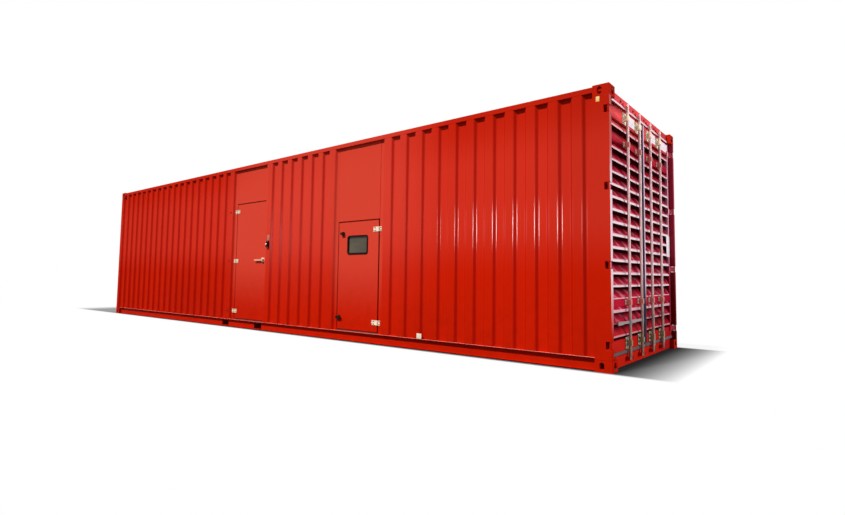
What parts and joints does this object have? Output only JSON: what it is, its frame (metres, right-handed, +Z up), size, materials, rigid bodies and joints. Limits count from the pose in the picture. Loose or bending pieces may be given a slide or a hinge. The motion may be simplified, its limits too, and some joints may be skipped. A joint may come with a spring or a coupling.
{
  "type": "containerised diesel generator set",
  "caption": "Long corrugated steel enclosure for a diesel generator set, with hinged side doors, louvred end doors and lock rods.",
  "frame": {"origin": "centre of the footprint, on the level of the corner castings' feet", "axes": "+X along the length towards the louvred door end, +Y towards the far long side, +Z up"},
  "size_m": [12.192, 2.532, 2.896],
  "materials": {
    "enclosure_paint": "gloss",
    "underside_paint": "semi-gloss",
    "floor_steel": "matt",
    "zinc_plate": "satin",
    "black_plastic": "satin",
    "dark_rubber": "matt",
    "window_glass": "gloss",
    "button_plastic": "gloss"
  },
  "bodies": {
    "root": {"bottom_castings": "enclosure_paint", "top_castings": "enclosure_paint", "door_end_posts": "enclosure_paint", "closed_end_posts": "enclosure_paint", "bottom_side_rails": "enclosure_paint", "top_side_rails": "enclosure_paint", "door_header": "enclosure_paint", "door_sill": "enclosure_paint", "closed_end_rails": "enclosure_paint", "cross_members": "underside_paint", "fork_pockets": "underside_paint", "floor_plate": "floor_steel", "roof_panel": "enclosure_paint", "near_wall_left": "enclosure_paint", "near_wall_over_door_1": "enclosure_paint", "near_wall_middle": "enclosure_paint", "near_wall_over_door_2": "enclosure_paint", "near_wall_right": "enclosure_paint", "far_wall": "enclosure_paint", "far_side_doors": "enclosure_paint", "far_door_fittings": "zinc_plate", "closed_end_wall": "enclosure_paint", "intake_louvres": "underside_paint", "door_hinge_pins": "zinc_plate", "lock_keepers": "enclosure_paint", "side_door_hinge_plates": "zinc_plate", "stop_box": "black_plastic"},
    "near_leaf": {"near_leaf_frame": "enclosure_paint", "near_leaf_blades": "enclosure_paint", "near_leaf_gasket": "dark_rubber", "near_leaf_guides": "zinc_plate"},
    "far_leaf": {"far_leaf_frame": "enclosure_paint", "far_leaf_blades": "enclosure_paint", "far_leaf_gasket": "dark_rubber", "far_leaf_guides": "zinc_plate"},
    "lock_rod_1": {"lock_rod_1": "zinc_plate"},
    "lock_rod_2": {"lock_rod_2": "zinc_plate"},
    "lock_rod_3": {"lock_rod_3": "zinc_plate"},
    "lock_rod_4": {"lock_rod_4": "zinc_plate"},
    "side_door_1": {"side_door_1": "enclosure_paint", "door_1_fittings": "zinc_plate"},
    "door_1_lever": {"door_1_lever": "zinc_plate"},
    "side_door_2": {"side_door_2": "enclosure_paint", "window_rubber_frame": "dark_rubber", "window_glass": "window_glass", "door_2_fittings": "zinc_plate"},
    "upper_latch": {"upper_latch": "black_plastic"},
    "lower_latch": {"lower_latch": "black_plastic"},
    "stop_button": {"stop_button": "button_plastic"}
  },
  "joints": [
    {"name": "near_leaf_hinge", "type": "hinge", "parent": "root", "child": "near_leaf", "pos_m": [6.08, -1.207, 1.45], "axis": [0, 0, -1], "range_deg": [0, 265]},
    {"name": "far_leaf_hinge", "type": "hinge", "parent": "root", "child": "far_leaf", "pos_m": [6.08, 1.207, 1.45], "axis": [0, 0, 1], "range_deg": [0, 265]},
    {"name": "lock_rod_1_turn", "type": "hinge", "parent": "near_leaf", "child": "lock_rod_1", "pos_m": [6.076, -0.615, 1.45], "axis": [0, 0, -1], "range_deg": [-110, 0]},
    {"name": "lock_rod_2_turn", "type": "hinge", "parent": "near_leaf", "child": "lock_rod_2", "pos_m": [6.076, -0.205, 1.45], "axis": [0, 0, -1], "range_deg": [-110, 0]},
    {"name": "lock_rod_3_turn", "type": "hinge", "parent": "far_leaf", "child": "lock_rod_3", "pos_m": [6.076, 0.205, 1.45], "axis": [0, 0, 1], "range_deg": [-110, 0]},
    {"name": "lock_rod_4_turn", "type": "hinge", "parent": "far_leaf", "child": "lock_rod_4", "pos_m": [6.076, 0.615, 1.45], "axis": [0, 0, 1], "range_deg": [-110, 0]},
    {"name": "side_door_1_hinge", "type": "hinge", "parent": "root", "child": "side_door_1", "pos_m": [-0.859, -1.195, 1.18], "axis": [0, 0, -1], "range_deg": [0, 165]},
    {"name": "side_door_2_hinge", "type": "hinge", "parent": "root", "child": "side_door_2", "pos_m": [2.814, -1.195, 0.936], "axis": [0, 0, 1], "range_deg": [0, 165]},
    {"name": "door_1_lever_turn", "type": "hinge", "parent": "side_door_1", "child": "door_1_lever", "pos_m": [0.023, -1.183, 1.19], "axis": [0, -1, 0], "range_deg": [0, 45]},
    {"name": "upper_latch_turn", "type": "hinge", "parent": "side_door_2", "child": "upper_latch", "pos_m": [2.072, -1.183, 1.544], "axis": [0, -1, 0], "range_deg": [0, 90]},
    {"name": "lower_latch_turn", "type": "hinge", "parent": "side_door_2", "child": "lower_latch", "pos_m": [2.016, -1.183, 0.33], "axis": [0, -1, 0], "range_deg": [0, 90]},
    {"name": "stop_button_push", "type": "slide", "parent": "root", "child": "stop_button", "axis": [0, 1, 0], "range_m": [0, 0.005]}
  ]
}
